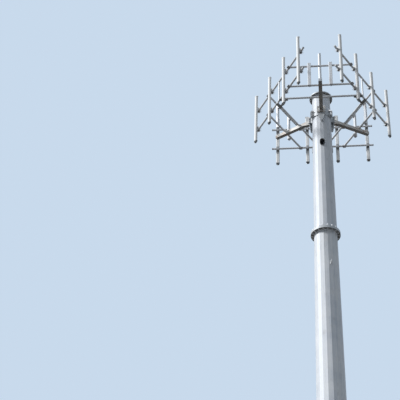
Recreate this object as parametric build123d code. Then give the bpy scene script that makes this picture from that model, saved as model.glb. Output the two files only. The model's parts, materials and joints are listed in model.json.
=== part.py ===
from build123d import *
import math
import os

# Monopole tower for mobile telephone antennas, in millimetres, +Z up.
# The origin is on the underside of the base flange, on the axis of the pole.
# Three corners of the head point to -Y and to either side of +Y, and three faces lie between them.

# Pole: three tapered eighteen-sided sections, bolted end to end at ring flanges.
# Each is welded from two bent half shells, whose seams are at +X and -X.
sides = 18
base_flats = 1200.0
top_flats = 630.0
wall = 10.0
lower_length = 11400.0
middle_length = 11400.0
upper_length = 6200.0
clearance = 0.3

# Base flange with its anchor bolt holes and gussets
base_plate_thickness = 60.0
base_plate_reach = 240.0
base_bolt_reach = 130.0
base_bolt_count = 12
base_bolt_hole = 64.0
base_lip = 100.0
gusset_height = 320.0
gusset_thickness = 16.0
gusset_margin = 25.0
gusset_land = 30.0

# Splice flanges between the sections
ring_thickness = 50.0
ring_reach = 115.0
ring_bolt_reach = 62.0
ring_bolt_count = 18
ring_bolt_hole = 36.0
ring_lip = 25.0

# Top flange and its cover plate
top_ring_thickness = 25.0
top_plate_thickness = 25.0
top_reach = 100.0
top_bolt_reach = 55.0
top_bolt_count = 12
top_bolt_hole = 26.0

# Mast on the cover plate
mast_diameter = 116.0
mast_length = 2420.0
mast_slant = 25.0
foot_diameter = 340.0
foot_thickness = 20.0
foot_gusset_height = 150.0
foot_gusset_thickness = 12.0
foot_gusset_count = 6
foot_gusset_margin = 20.0

# Cable ports
port_width = 150.0
port_height = 270.0
port_rim_wall = 14.0
port_rim_out = 30.0
port_rim_in = 12.0
exit_port_drop = 1600.0
base_port_width = 260.0
base_port_height = 560.0
base_port_rise = 1100.0

# Lug below the upper splice
lug_drop = 1350.0
lug_height = 120.0
lug_reach = 110.0
lug_thickness = 20.0
lug_hole = 40.0
lug_turn = 20.0

# Head: levels of the two rings of rails, and the three faces
rail_drop = 844.0
rail_spacing = 970.0
rail_diameter = 73.0
rail_length = 3810.0
face_apothem = 1734.0
rail_cap = 6.0

# Arms, from the collar on the pole to each corner
arm_size = 130.0
arm_end = 1960.0
arm_plate_width = 300.0
arm_plate_height = 300.0
arm_plate_thickness = 20.0
arm_knee_length = 260.0
arm_knee_depth = 80.0
arm_knee_thickness = 16.0
saddle_length = 120.0
saddle_under = 10.0
saddle_side = 18.0

# Collar: three clamped segments, each with a standoff bracket for an arm
band_thickness = 16.0
band_height = 300.0
collar_gap = 40.0
ear_thickness = 18.0
ear_reach = 95.0
ear_hole = 30.0
ear_hole_pitch = 180.0
standoff = 110.0
standoff_rib_thickness = 14.0
standoff_rib_spread = 190.0
shield_drop = 360.0
shield_point = 70.0

# Ties across the arms and posts at the corners
inner_tie_distance = 972.0
inner_tie_half = 1290.0
outer_tie_distance = 1577.0
tie_diameter = 73.0
corner_post_offset = 380.0
corner_post_width = 120.0
corner_post_depth = 70.0
corner_post_length = 1110.0
corner_post_edge = 14.0
post_saddle_gap = 8.0
post_saddle_height = 120.0
post_saddle_grip = 12.0

# Bracket at the middle of each face: a bar from the end of each inner tie to the rail, and a cross bar
mid_bar_width = 116.0
mid_bar_thickness = 16.0
mid_bar_lap = 115.0
mid_bar_past = 55.0
mid_cross_width = 80.0
stub_diameter = 60.0
stub_inset = 165.0
stub_height = 600.0
stub_below = 130.0
mid_post_diameter = 60.0

# Sleeves that clamp the ties to the rails
sleeve_wall = 9.0
sleeve_length = 130.0

# Antennas: tall slim housings, each held to both rails of its face
antennas_per_face = 4
antenna_pitch = 1130.0
antenna_length = 2330.0
antenna_width = 128.0
antenna_depth = 98.0
antenna_back_edge = 24.0
antenna_end_edge = 22.0
antenna_gap = 30.0
foot_cap_height = 36.0
foot_cap_growth = 2.0
connector_diameter = 28.0
connector_length = 32.0
connector_spread = 52.0

# Antenna clamps: a bracket on the antenna's back and a keeper behind the rail
bracket_width = 116.0
bracket_height = 200.0
bracket_plate = 8.0
cheek_thickness = 10.0
cheek_height = 150.0
cheek_grip = 6.0
keeper_thickness = 10.0
keeper_width = 96.0
keeper_height = 150.0
keeper_split = 4.0

# Levels that follow
lower_bottom = base_plate_thickness
lower_top = lower_bottom + lower_length
middle_bottom = lower_top + 2 * ring_thickness
middle_top = middle_bottom + middle_length
upper_bottom = middle_top + 2 * ring_thickness
upper_top = upper_bottom + upper_length
plate_bottom = upper_top + top_ring_thickness
plate_top = plate_bottom + top_plate_thickness
lower_rail_level = plate_top - rail_drop
upper_rail_level = lower_rail_level + rail_spacing
head_middle = (lower_rail_level + upper_rail_level) / 2
rail_radius = rail_diameter / 2
tie_radius = tie_diameter / 2
arm_level = lower_rail_level - tie_radius - saddle_under - arm_size / 2
exit_port_level = lower_rail_level - exit_port_drop
base_port_level = lower_bottom + base_port_rise
lug_level = middle_top - lug_drop

corner_names = ("near", "right", "left")
face_names = ("back", "left", "right")
third = 360.0 / len(corner_names)
overshoot = 1.0


def write(name, shape):
    # Each piece is one file, whose name is the name of the piece.
    export_step(shape, os.path.join("parts", name + ".step"))


def flats_at(level):
    share = (level - lower_bottom) / (upper_top - lower_bottom)
    return base_flats + (top_flats - base_flats) * share


def corners_at(level):
    return flats_at(level) / math.cos(math.pi / sides)


def outline_at(level, inset):
    radius = flats_at(level) / 2 - inset
    return Pos(0, 0, level) * RegularPolygon(radius, sides, major_radius=False)


def prism(bottom, top, inset=0.0):
    return loft([outline_at(bottom, inset), outline_at(top, inset)], ruled=True)


def block(low, high):
    size = [b - a for a, b in zip(low, high)]
    middle = [(a + b) / 2 for a, b in zip(low, high)]
    return Pos(*middle) * Box(*size)


def pipe_along(start, end, diameter):
    line = Vector(*end) - Vector(*start)
    plane = Plane(origin=start, z_dir=line)
    return extrude(plane * Circle(diameter / 2), amount=line.length)


def upright(x, y, bottom, top, diameter):
    return pipe_along((x, y, bottom), (x, y, top), diameter)


def disc(bottom, thickness, diameter, hole):
    ring = Circle(diameter / 2) - Circle(hole / 2)
    return extrude(Pos(0, 0, bottom) * ring, amount=thickness)


def bolt_holes(circle, count, diameter, bottom, thickness, start=0.0):
    holes = PolarLocations(circle / 2, count, start_angle=start) * Circle(diameter / 2)
    return extrude(Pos(0, 0, bottom) * Sketch(children=holes), amount=thickness)


def turned(shape, step):
    return Rot(0, 0, third * step) * shape


# Cable ports: an oval rim let into a flat of the pole, drawn on the side towards -Y
def oval(width, height, level, near, far):
    plane = Plane(origin=(0, -near, level), x_dir=(1, 0, 0), z_dir=(0, -1, 0))
    return extrude(plane * Rot(0, 0, 90) * SlotOverall(height, width), amount=far - near)


def port_span(level):
    face = flats_at(level) / 2
    return face - wall - port_rim_in, face + port_rim_out


def port_rim(width, height, level):
    near, far = port_span(level)
    outside = oval(width + 2 * port_rim_wall, height + 2 * port_rim_wall, level, near, far)
    return outside - oval(width, height, level, near - overshoot, far + overshoot)


def port_cut(width, height, level):
    near, far = port_span(level)
    growth = 2 * (port_rim_wall + clearance)
    return oval(width + growth, height + growth, level, near - wall, far)


# Pole
def make_shaft(bottom, top):
    return prism(bottom, top) - prism(bottom, top, wall)


def write_halves(name, shaft):
    write(name + "_front", split(shaft, bisect_by=Plane.XZ, keep=Keep.TOP))
    write(name + "_back", split(shaft, bisect_by=Plane.XZ, keep=Keep.BOTTOM))


def make_lower_shaft():
    return make_shaft(lower_bottom, lower_top) - port_cut(base_port_width, base_port_height, base_port_level)


def make_upper_shaft():
    shaft = make_shaft(upper_bottom, upper_top)
    for step in range(3):
        shaft -= turned(port_cut(port_width, port_height, exit_port_level), step)
    return shaft


def make_exit_port_rims():
    rim = port_rim(port_width, port_height, exit_port_level)
    return Compound(children=[turned(rim, step) for step in range(3)])


def make_ring(bottom, shaft_level):
    corners = corners_at(shaft_level)
    hole = flats_at(shaft_level) - 2 * (wall + ring_lip)
    ring = disc(bottom, ring_thickness, corners + 2 * ring_reach, hole)
    circle = corners + 2 * ring_bolt_reach
    return ring - bolt_holes(circle, ring_bolt_count, ring_bolt_hole, bottom, ring_thickness)


def make_base_plate():
    corners = corners_at(lower_bottom)
    hole = flats_at(lower_bottom) - 2 * (wall + base_lip)
    plate = disc(0, base_plate_thickness, corners + 2 * base_plate_reach, hole)
    circle = corners + 2 * base_bolt_reach
    return plate - bolt_holes(circle, base_bolt_count, base_bolt_hole, 0, base_plate_thickness)


def make_base_gussets():
    # Welded plates between the anchor bolts, cut to the slope of the pole
    outer = corners_at(lower_bottom) / 2 + base_plate_reach - gusset_margin
    inner = flats_at(lower_bottom) / 2 - wall
    low = lower_bottom
    high = lower_bottom + gusset_height
    with_land = [(inner, low), (outer, low), (outer, low + gusset_land)]
    profile = Polyline(*with_land, (inner + gusset_land, high), (inner, high), (inner, low))
    plate = extrude(Plane.XZ * make_face(profile), amount=gusset_thickness / 2, both=True)
    plate -= prism(low, high, -clearance)
    turn = 180.0 / base_bolt_count
    plates = [Rot(0, 0, turn * (2 * i + 1)) * plate for i in range(base_bolt_count)]
    return Compound(children=plates)


def make_top_ring():
    corners = corners_at(upper_top)
    hole = flats_at(upper_top) - 2 * (wall + ring_lip)
    ring = disc(upper_top, top_ring_thickness, corners + 2 * top_reach, hole)
    circle = corners + 2 * top_bolt_reach
    return ring - bolt_holes(circle, top_bolt_count, top_bolt_hole, upper_top, top_ring_thickness)


def make_top_plate():
    corners = corners_at(upper_top)
    plate = extrude(Pos(0, 0, plate_bottom) * Circle(corners / 2 + top_reach), amount=top_plate_thickness)
    circle = corners + 2 * top_bolt_reach
    return plate - bolt_holes(circle, top_bolt_count, top_bolt_hole, plate_bottom, top_plate_thickness)


def make_mast():
    mast = upright(0, 0, plate_top + foot_thickness, plate_top + mast_length, mast_diameter)
    tilt = Plane(origin=(0, 0, plate_top + mast_length - mast_slant), z_dir=(-mast_slant, 0, mast_diameter / 2))
    return split(mast, bisect_by=tilt, keep=Keep.BOTTOM)


def make_mast_foot():
    foot = extrude(Pos(0, 0, plate_top) * Circle(foot_diameter / 2), amount=foot_thickness)
    low = plate_top + foot_thickness
    inner = mast_diameter / 2
    outer = foot_diameter / 2 - foot_gusset_margin
    high = low + foot_gusset_height
    points = [(0, low), (outer, low), (outer, low + foot_gusset_margin), (inner + foot_gusset_margin, high), (0, high)]
    profile = make_face(Polyline(*points, points[0]))
    plate = extrude(Plane.XZ * profile, amount=foot_gusset_thickness / 2, both=True)
    plate -= upright(0, 0, low, high, mast_diameter + 2 * clearance)
    for location in PolarLocations(0, foot_gusset_count):
        foot += location * plate
    return foot


def make_lug():
    face = flats_at(lug_level) / 2
    low = lug_level - lug_height / 2
    high = lug_level + lug_height / 2
    points = [(-face + wall, low), (-face - lug_reach / 2, low), (-face - lug_reach, lug_level)]
    points += [(-face - lug_reach, high), (-face + wall, high)]
    profile = make_face(Polyline(*points, points[0]))
    lug = extrude(Plane.YZ * profile, amount=lug_thickness / 2, both=True)
    hole = pipe_along((-lug_reach, -face - lug_reach / 2, lug_level + lug_height / 6),
                      (lug_reach, -face - lug_reach / 2, lug_level + lug_height / 6), lug_hole)
    lug -= hole
    lug -= prism(low - overshoot, high + overshoot, -clearance)
    return Rot(0, 0, lug_turn) * lug


# Collar segment and arm towards -Y
band_top = arm_level + arm_plate_height / 2
band_bottom = band_top - band_height
band_radius = corners_at(band_bottom) / 2 + band_thickness
shield_face = band_radius + standoff


def make_collar():
    low = band_bottom
    high = band_top
    band = extrude(Pos(0, 0, low) * Circle(band_radius), amount=high - low)
    reach = band_radius + ear_reach
    ear = block((-reach, -ear_thickness, low), (0, 0, high))
    for rise in (-ear_hole_pitch / 2, ear_hole_pitch / 2):
        middle = (low + high) / 2 + rise
        ear -= pipe_along((-reach + ear_reach / 2, -2 * ear_thickness, middle),
                          (-reach + ear_reach / 2, ear_thickness, middle), ear_hole)
    half = collar_gap / 2
    edge = 90 - third / 2
    left_ear = Rot(0, 0, edge) * Pos(0, -half, 0) * ear
    body = band + left_ear + mirror(left_ear, about=Plane.YZ)
    wedge_reach = 3 * reach
    wedge_height = wedge_reach * math.tan(math.radians(edge))
    tip = half / math.cos(math.radians(edge))
    points = [(0, -tip), (wedge_reach, -wedge_height - tip), (wedge_reach, -wedge_reach)]
    points += [(-wedge_reach, -wedge_reach), (-wedge_reach, -wedge_height - tip)]
    wedge = make_face(Polyline(*points, points[0]))
    body &= extrude(Pos(0, 0, low) * wedge, amount=high - low)
    shield = [(-arm_plate_width / 2, high), (arm_plate_width / 2, high), (arm_plate_width / 2, low)]
    shield += [(shield_point / 2, low - shield_drop), (-shield_point / 2, low - shield_drop)]
    shield += [(-arm_plate_width / 2, low)]
    front = Plane(origin=(0, -shield_face, 0), x_dir=(1, 0, 0), z_dir=(0, -1, 0))
    body += extrude(front * make_face(Polyline(*shield, shield[0])), amount=-arm_plate_thickness)
    side = standoff_rib_spread / 2
    rib = block((side - standoff_rib_thickness / 2, -shield_face + arm_plate_thickness, low),
                (side + standoff_rib_thickness / 2, 0, high))
    spine = block((-standoff_rib_thickness / 2, -shield_face + arm_plate_thickness, low - shield_drop),
                  (standoff_rib_thickness / 2, 0, high))
    body += rib + mirror(rib, about=Plane.YZ) + spine
    body -= prism(low - 2 * shield_drop, high + shield_drop / 10, -clearance)
    return body.solids().sort_by(SortBy.VOLUME)[-1]


def make_saddle(distance):
    # Seat of a tie on the arm, hollowed to the pipe
    top = lower_rail_level + saddle_side - tie_radius
    seat = block((-arm_size / 2, -distance - saddle_length / 2, arm_level + arm_size / 2),
                 (arm_size / 2, -distance + saddle_length / 2, top))
    half = arm_size
    return seat - pipe_along((-half, -distance, lower_rail_level), (half, -distance, lower_rail_level),
                             tie_diameter + 2 * clearance)


def make_arm():
    start = shield_face
    half = arm_size / 2
    tube = block((-half, -arm_end, arm_level - half), (half, -start - arm_plate_thickness, arm_level + half))
    arm = tube + block((-arm_plate_width / 2, -start - arm_plate_thickness, band_bottom),
                       (arm_plate_width / 2, -start, band_top))
    root = start + arm_plate_thickness
    under = arm_level - half
    knee = [(-root, under), (-root, under - arm_knee_depth), (-root - arm_knee_length, under)]
    plate = extrude(Plane.YZ * make_face(Polyline(*knee, knee[0])), amount=arm_knee_thickness / 2, both=True)
    spread = half - arm_knee_thickness / 2
    arm += Pos(spread, 0, 0) * plate
    arm += Pos(-spread, 0, 0) * plate
    arm += make_saddle(inner_tie_distance)
    arm += make_saddle(outer_tie_distance)
    return arm


# Ties, which meet the face rails at a slant
slant = math.radians(third / 2)
outer_tie_half = (face_apothem - outer_tie_distance * math.cos(slant)) / math.sin(slant)
sleeve_offset = outer_tie_distance * math.sin(slant) - outer_tie_half * math.cos(slant)
sleeve_diameter = rail_diameter + 2 * (clearance + sleeve_wall)


def rail_line(level, diameter, half):
    return pipe_along((-half, face_apothem, level), (half, face_apothem, level), diameter)


def sleeve_space(level):
    # Room that a sleeve takes round both rails that a corner lies between
    room = rail_line(level, sleeve_diameter + 2 * clearance, rail_length)
    return turned(room, 1) + turned(room, 2)


def make_outer_ties():
    ties = []
    for level in (lower_rail_level, upper_rail_level):
        start = (-outer_tie_half, -outer_tie_distance, level)
        end = (outer_tie_half, -outer_tie_distance, level)
        ties.append(pipe_along(start, end, tie_diameter) - sleeve_space(level))
    return Compound(children=[tie.solids().sort_by(SortBy.VOLUME)[-1] for tie in ties])


def make_inner_tie():
    start = (-inner_tie_half, -inner_tie_distance, lower_rail_level)
    end = (inner_tie_half, -inner_tie_distance, lower_rail_level)
    return pipe_along(start, end, tie_diameter)


def make_corner_posts():
    # Closed box sections outside the ties, with a saddle at each tie
    near = outer_tie_distance + tie_radius + post_saddle_gap
    far = near + corner_post_depth
    low = head_middle - corner_post_length / 2
    section = RectangleRounded(corner_post_width, corner_post_depth, corner_post_edge)
    posts = []
    for side in (-1, 1):
        x = side * corner_post_offset
        post = extrude(Pos(x, -(near + far) / 2, low) * section, amount=corner_post_length)
        for level in (lower_rail_level, upper_rail_level):
            half = corner_post_width / 2 - corner_post_edge
            inner = outer_tie_distance + post_saddle_grip
            rise = post_saddle_height / 2
            post += block((x - half, -near, level - rise), (x + half, -inner, level + rise))
            start = (-outer_tie_half, -outer_tie_distance, level)
            end = (outer_tie_half, -outer_tie_distance, level)
            post -= pipe_along(start, end, tie_diameter + 2 * clearance)
        posts.append(post)
    return Compound(children=posts)


# One face of the head, drawn on the side towards +Y
def make_rails():
    half = rail_length / 2
    rails = []
    for level in (lower_rail_level, upper_rail_level):
        rail = rail_line(level, rail_diameter, half)
        rails.append(chamfer(rail.edges().filter_by(GeomType.CIRCLE), rail_cap))
    return Compound(children=rails)


def make_mid_post():
    post = upright(0, face_apothem, lower_rail_level, upper_rail_level, mid_post_diameter)
    for level in (lower_rail_level, upper_rail_level):
        post -= rail_line(level, rail_diameter + 2 * clearance, rail_radius * 2)
    return post.solids().sort_by(SortBy.VOLUME)[-1]


def make_mid_bracket():
    top = lower_rail_level - tie_radius - clearance
    bottom = top - mid_bar_thickness
    # The bar lies under the +X end of the near corner's tie and runs on under the rail.
    end = inner_tie_half * math.sin(slant) + inner_tie_distance * math.cos(slant)
    reach = (face_apothem - end) / math.sin(slant)
    half = mid_bar_width / 2
    bar = turned(block((inner_tie_half - mid_bar_lap, -inner_tie_distance - half, bottom),
                       (inner_tie_half + reach + mid_bar_past, -inner_tie_distance + half, top)), 1)
    middle = face_apothem - stub_inset
    side = inner_tie_distance / math.sin(slant) - middle / math.tan(slant)
    cross = block((-side, middle - mid_cross_width / 2, bottom), (side, middle + mid_cross_width / 2, top))
    stub_bottom = lower_rail_level - stub_below
    stub = upright(0, middle, stub_bottom, stub_bottom + stub_height, stub_diameter)
    return bar + mirror(bar, about=Plane.YZ) + cross + stub


def antenna_places():
    middle = (antennas_per_face - 1) / 2
    return [(i - middle) * antenna_pitch for i in range(antennas_per_face)]


antenna_back = face_apothem + rail_radius + antenna_gap
antenna_bottom = head_middle - antenna_length / 2


def antenna_section(growth):
    # Flat back with rounded corners, straight cheeks and a half-round front
    half = antenna_width / 2 + growth
    shoulder = antenna_depth - antenna_width / 2
    tip = shoulder + half
    back = Line((-half, -growth), (half, -growth))
    right = Line((half, -growth), (half, shoulder))
    front = ThreePointArc((half, shoulder), (0, tip), (-half, shoulder))
    left = Line((-half, shoulder), (-half, -growth))
    section = make_face(Curve() + [back, right, front, left])
    corners = section.vertices().sort_by(Axis.Y)[:2]
    return fillet(corners, antenna_back_edge + growth)


def make_antennas():
    housings = []
    for x in antenna_places():
        low = antenna_bottom + foot_cap_height
        body = extrude(Pos(x, antenna_back, low) * antenna_section(0), amount=antenna_length - foot_cap_height)
        top = body.faces().sort_by(Axis.Z)[-1]
        housings.append(fillet(top.edges(), antenna_end_edge))
    return Compound(children=housings)


def make_antenna_feet():
    # Metal caps at the lower ends, with two cable sockets each
    feet = []
    for x in antenna_places():
        place = Pos(x, antenna_back, antenna_bottom)
        foot = extrude(place * antenna_section(foot_cap_growth), amount=foot_cap_height)
        bottom = foot.faces().sort_by(Axis.Z)[0]
        foot = fillet(bottom.edges(), antenna_end_edge / 2)
        for side in (-1, 1):
            middle = Pos(x + side * connector_spread / 2, antenna_back + antenna_depth / 2, antenna_bottom)
            foot += extrude(middle * Circle(connector_diameter / 2), amount=-connector_length)
        feet.append(foot)
    return Compound(children=feet)


def rail_room(x, level, half):
    start = (x - half, face_apothem, level)
    end = (x + half, face_apothem, level)
    return pipe_along(start, end, rail_diameter + 2 * clearance)


def make_bracket(x, level):
    # Pressed bracket: a plate on the back of the antenna and two cheeks notched for the rail
    back = antenna_back - clearance
    half = bracket_width / 2
    bracket = block((x - half, back - bracket_plate, level - bracket_height / 2),
                    (x + half, back, level + bracket_height / 2))
    for side in (-1, 1):
        inner = x + side * (half - cheek_thickness)
        outer = x + side * half
        bracket += block((min(inner, outer), face_apothem + cheek_grip, level - cheek_height / 2),
                         (max(inner, outer), back - bracket_plate, level + cheek_height / 2))
    return bracket - rail_room(x, level, bracket_width)


def make_keeper(x, level):
    # Strap behind the rail, drawn up to the bracket by two bolts
    near = face_apothem - rail_radius - keeper_thickness
    half = keeper_width / 2
    keeper = block((x - half, near, level - keeper_height / 2),
                   (x + half, face_apothem - keeper_split, level + keeper_height / 2))
    hollow_height = keeper_height / 2 - keeper_thickness
    for sign in (-1, 1):
        edge = level + sign * hollow_height
        middle = level + sign * (rail_radius + keeper_thickness) / 2
        low, high = min(edge, middle), max(edge, middle)
        keeper -= block((x - half + keeper_thickness, near + keeper_thickness, low),
                        (x + half - keeper_thickness, face_apothem, high))
    return keeper - rail_room(x, level, keeper_width)


def make_sleeve(x, level):
    half = sleeve_length / 2
    outside = pipe_along((x - half, face_apothem, level), (x + half, face_apothem, level), sleeve_diameter)
    return outside - rail_room(x, level, sleeve_length)


def make_tie_sleeves():
    sleeves = []
    for level in (lower_rail_level, upper_rail_level):
        sleeves += [make_sleeve(side * sleeve_offset, level) for side in (-1, 1)]
    return Compound(children=sleeves)


def make_antenna_clamps():
    clamps = []
    for level in (lower_rail_level, upper_rail_level):
        for x in antenna_places():
            clamps.append(make_bracket(x, level))
            clamps.append(make_keeper(x, level))
    return Compound(children=clamps)


def main():
    os.makedirs("parts", exist_ok=True)
    write("base_plate", make_base_plate())
    write("base_gussets", make_base_gussets())
    write_halves("lower_shaft", make_lower_shaft())
    write("base_port_rim", port_rim(base_port_width, base_port_height, base_port_level))
    write("lower_splice_bottom_ring", make_ring(lower_top, lower_top))
    write("lower_splice_top_ring", make_ring(lower_top + ring_thickness, lower_top))
    write_halves("middle_shaft", make_shaft(middle_bottom, middle_top))
    write("upper_splice_bottom_ring", make_ring(middle_top, middle_top))
    write("upper_splice_top_ring", make_ring(middle_top + ring_thickness, middle_top))
    write_halves("upper_shaft", make_upper_shaft())
    write("exit_port_rims", make_exit_port_rims())
    write("hoist_lug", make_lug())
    write("top_ring", make_top_ring())
    write("top_plate", make_top_plate())
    write("top_mast", make_mast())
    write("mast_foot", make_mast_foot())
    collar = make_collar()
    arm = make_arm()
    inner_tie = make_inner_tie()
    outer_ties = make_outer_ties()
    corner_posts = make_corner_posts()
    for step, name in enumerate(corner_names):
        write(name + "_collar", turned(collar, step))
        write(name + "_arm", turned(arm, step))
        write(name + "_inner_tie", turned(inner_tie, step))
        write(name + "_outer_ties", turned(outer_ties, step))
        write(name + "_corner_posts", turned(corner_posts, step))
    rails = make_rails()
    mid_post = make_mid_post()
    mid_bracket = make_mid_bracket()
    tie_sleeves = make_tie_sleeves()
    antenna_clamps = make_antenna_clamps()
    antennas = make_antennas()
    antenna_feet = make_antenna_feet()
    for step, name in enumerate(face_names):
        write(name + "_rails", turned(rails, step))
        write(name + "_mid_post", turned(mid_post, step))
        write(name + "_mid_bracket", turned(mid_bracket, step))
        write(name + "_tie_sleeves", turned(tie_sleeves, step))
        write(name + "_antenna_clamps", turned(antenna_clamps, step))
        write(name + "_antennas", turned(antennas, step))
        write(name + "_antenna_feet", turned(antenna_feet, step))


main()
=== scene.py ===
import json
import math

import bmesh
import bpy
from mathutils import Matrix, Vector


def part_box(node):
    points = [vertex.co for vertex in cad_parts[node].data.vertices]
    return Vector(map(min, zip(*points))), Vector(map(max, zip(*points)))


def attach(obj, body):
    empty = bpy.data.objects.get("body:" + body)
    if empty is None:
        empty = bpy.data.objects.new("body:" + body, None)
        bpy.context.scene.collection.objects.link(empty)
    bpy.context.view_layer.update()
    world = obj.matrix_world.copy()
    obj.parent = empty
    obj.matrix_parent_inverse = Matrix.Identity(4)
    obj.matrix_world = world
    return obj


# Monopole tower for mobile telephone antennas, in metres, +Z up, one corner of its head towards -Y.
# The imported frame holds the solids. Here they get their finishes, and the welds, bolts, straps and
# seals that hold them together are made.
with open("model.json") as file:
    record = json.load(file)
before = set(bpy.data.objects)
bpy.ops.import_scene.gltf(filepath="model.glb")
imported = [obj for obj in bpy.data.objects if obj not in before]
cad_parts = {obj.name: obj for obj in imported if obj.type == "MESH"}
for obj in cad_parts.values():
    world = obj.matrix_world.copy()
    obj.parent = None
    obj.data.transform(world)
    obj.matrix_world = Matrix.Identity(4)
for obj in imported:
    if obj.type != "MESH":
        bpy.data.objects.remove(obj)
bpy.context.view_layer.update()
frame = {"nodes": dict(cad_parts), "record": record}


# Pole shells: steel plate bent to eighteen sides and dipped in molten zinc, now dull and pale. Rain
# has drawn faint streaks down it, each section came out of the bath with its own tone, and dirt
# washes down from the flanges.
class Signal:
    """A shader socket on which plain arithmetic can be written."""

    def __init__(self, finish, socket):
        self.finish = finish
        self.socket = socket

    def math(self, operation, first, second):
        return self.finish.node("ShaderNodeMath", {"operation": operation}, {0: first, 1: second})

    def __add__(self, other):
        return self.math("ADD", self, other)

    def __radd__(self, other):
        return self.math("ADD", other, self)

    def __sub__(self, other):
        return self.math("SUBTRACT", self, other)

    def __rsub__(self, other):
        return self.math("SUBTRACT", other, self)

    def __mul__(self, other):
        return self.math("MULTIPLY", self, other)

    def __rmul__(self, other):
        return self.math("MULTIPLY", other, self)

    def between(self, low, high):
        """0 below low, 1 above high, and a straight rise between them."""
        limits = {"Value": self, "From Min": low, "From Max": high}
        return self.finish.node("ShaderNodeMapRange", {"clamp": True}, limits)


class Finish:
    """A material whose pattern is laid on Object coordinates."""

    def __init__(self, name, metallic, roughness):
        self.material = bpy.data.materials.new(name)
        self.material.use_nodes = True
        self.tree = self.material.node_tree
        self.shader = self.tree.nodes["Principled BSDF"]
        self.shader.inputs["Metallic"].default_value = metallic
        self.shader.inputs["Roughness"].default_value = roughness
        self.place = self.node("ShaderNodeTexCoord", out="Object")
        self.height = self.node("ShaderNodeSeparateXYZ", {}, {0: self.place}, "Z")
        normal = self.node("ShaderNodeTexCoord", out="Normal")
        self.upward = self.node("ShaderNodeSeparateXYZ", {}, {0: normal}, "Z")

    def node(self, kind, settings=None, sockets=None, out=0):
        """Makes a node, sets its settings first, then sets or links its sockets."""
        made = self.tree.nodes.new(kind)
        for name, value in (settings or {}).items():
            setattr(made, name, value)
        for name, value in (sockets or {}).items():
            if isinstance(value, Signal):
                self.tree.links.new(value.socket, made.inputs[name])
            else:
                made.inputs[name].default_value = value
        return Signal(self, made.outputs[out])

    def feed(self, socket, signal):
        self.tree.links.new(signal.socket, self.shader.inputs[socket])

    def noise(self, scale, detail=4.0, stretch=(1.0, 1.0, 1.0)):
        """Cloudy noise. A small third value in stretch draws it out up and down, as streaks are."""
        at = self.node("ShaderNodeMapping", {}, {"Vector": self.place, "Scale": stretch})
        return self.node("ShaderNodeTexNoise", {}, {"Vector": at, "Scale": scale, "Detail": detail})

    def cells(self, scale):
        """A random value for each cell, as the crystals of a zinc coat have."""
        pattern = {"Vector": self.place, "Scale": scale}
        colour = self.node("ShaderNodeTexVoronoi", {}, pattern, "Color")
        return self.node("ShaderNodeSeparateColor", {}, {0: colour})

    def mix(self, share, first, second):
        """The first colour where share is 0, and the second where it is 1."""
        mixed = {0: share}
        for slot, colour in ((6, first), (7, second)):
            mixed[slot] = colour if isinstance(colour, Signal) else (*colour, 1.0)
        return self.node("ShaderNodeMix", {"data_type": "RGBA"}, mixed, 2)

    def seen_by(self, kinds):
        """1 for rays of the given kinds, and 0 for all others."""
        seen = 0.0
        for kind in kinds:
            ray = self.node("ShaderNodeLightPath", out=kind)
            seen = ray.math("MAXIMUM", seen, ray)
        return seen

    def bump(self, signal, strength, distance):
        strengths = {"Height": signal, "Strength": strength, "Distance": distance}
        self.feed("Normal", self.node("ShaderNodeBump", {}, strengths))


def dress(names, material):
    """Gives CAD nodes a material."""
    for name in names:
        slots = frame["nodes"][name].data.materials
        slots.clear()
        slots.append(material)


def galvanised(name, pale, dull, metallic, roughness, crystal, streaking, underside_shade=0.0):
    """Hot-dip zinc: crystals, cloudy patches, rain streaks, and shade painted dark on undersides.

    Crystal is how many crystals lie in a metre. Streaking and the shade painted below go from 0 to 1. The
    colour is returned beside the finish, so that stains can be laid over it before it is fed in.
    """
    zinc = Finish(name, metallic, roughness)
    crystals = zinc.cells(crystal)
    patches = zinc.noise(2.2, 5.0).between(0.32, 0.68)
    streaks = zinc.noise(1.0, 5.0, (16.0, 16.0, 0.45)).between(0.38, 0.66)
    colour = zinc.mix(patches * 0.75 + crystals * 0.25, dull, pale)
    colour = zinc.mix(streaks * streaking, colour, zinc_bloom)
    grime = zinc.noise(7.0, 6.0, (1.0, 1.0, 0.5)).between(0.58, 0.76)
    colour = zinc.mix(grime * 0.25, colour, zinc_dirt)
    shine = roughness - 0.10 + patches * 0.08 + crystals * 0.09 + streaks * 0.08
    # Painted shade: faces that look down are darkened towards near black, and made duller and rougher there.
    if underside_shade:
        painted_shade_below = (1 - zinc.upward.between(-0.85, 0.05)) * (patches * 0.3 + 0.7) * underside_shade
        colour = zinc.mix(painted_shade_below, colour, zinc_painted_shade)
        zinc.feed("Metallic", metallic - painted_shade_below * metallic)
        shine = shine + painted_shade_below * 0.3
    zinc.feed("Roughness", shine)
    zinc.bump(crystals * 0.3 + zinc.noise(60.0, 3.0), 0.12, 0.002)
    return zinc, colour


zinc_bloom = (0.80, 0.81, 0.82)
zinc_dirt = (0.30, 0.28, 0.25)
# The near-black colour of the shade painted on undersides.
zinc_painted_shade = (0.105, 0.095, 0.085)
pole_pale = (0.72, 0.74, 0.77)
pole_dull = (0.52, 0.56, 0.62)
section_names = ("lower_shaft", "middle_shaft", "upper_shaft")
section_tones = (0.30, 0.0, 0.55)
tone_change = 0.05
washed_height = 1.6
wash_edge = 0.01

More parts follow.
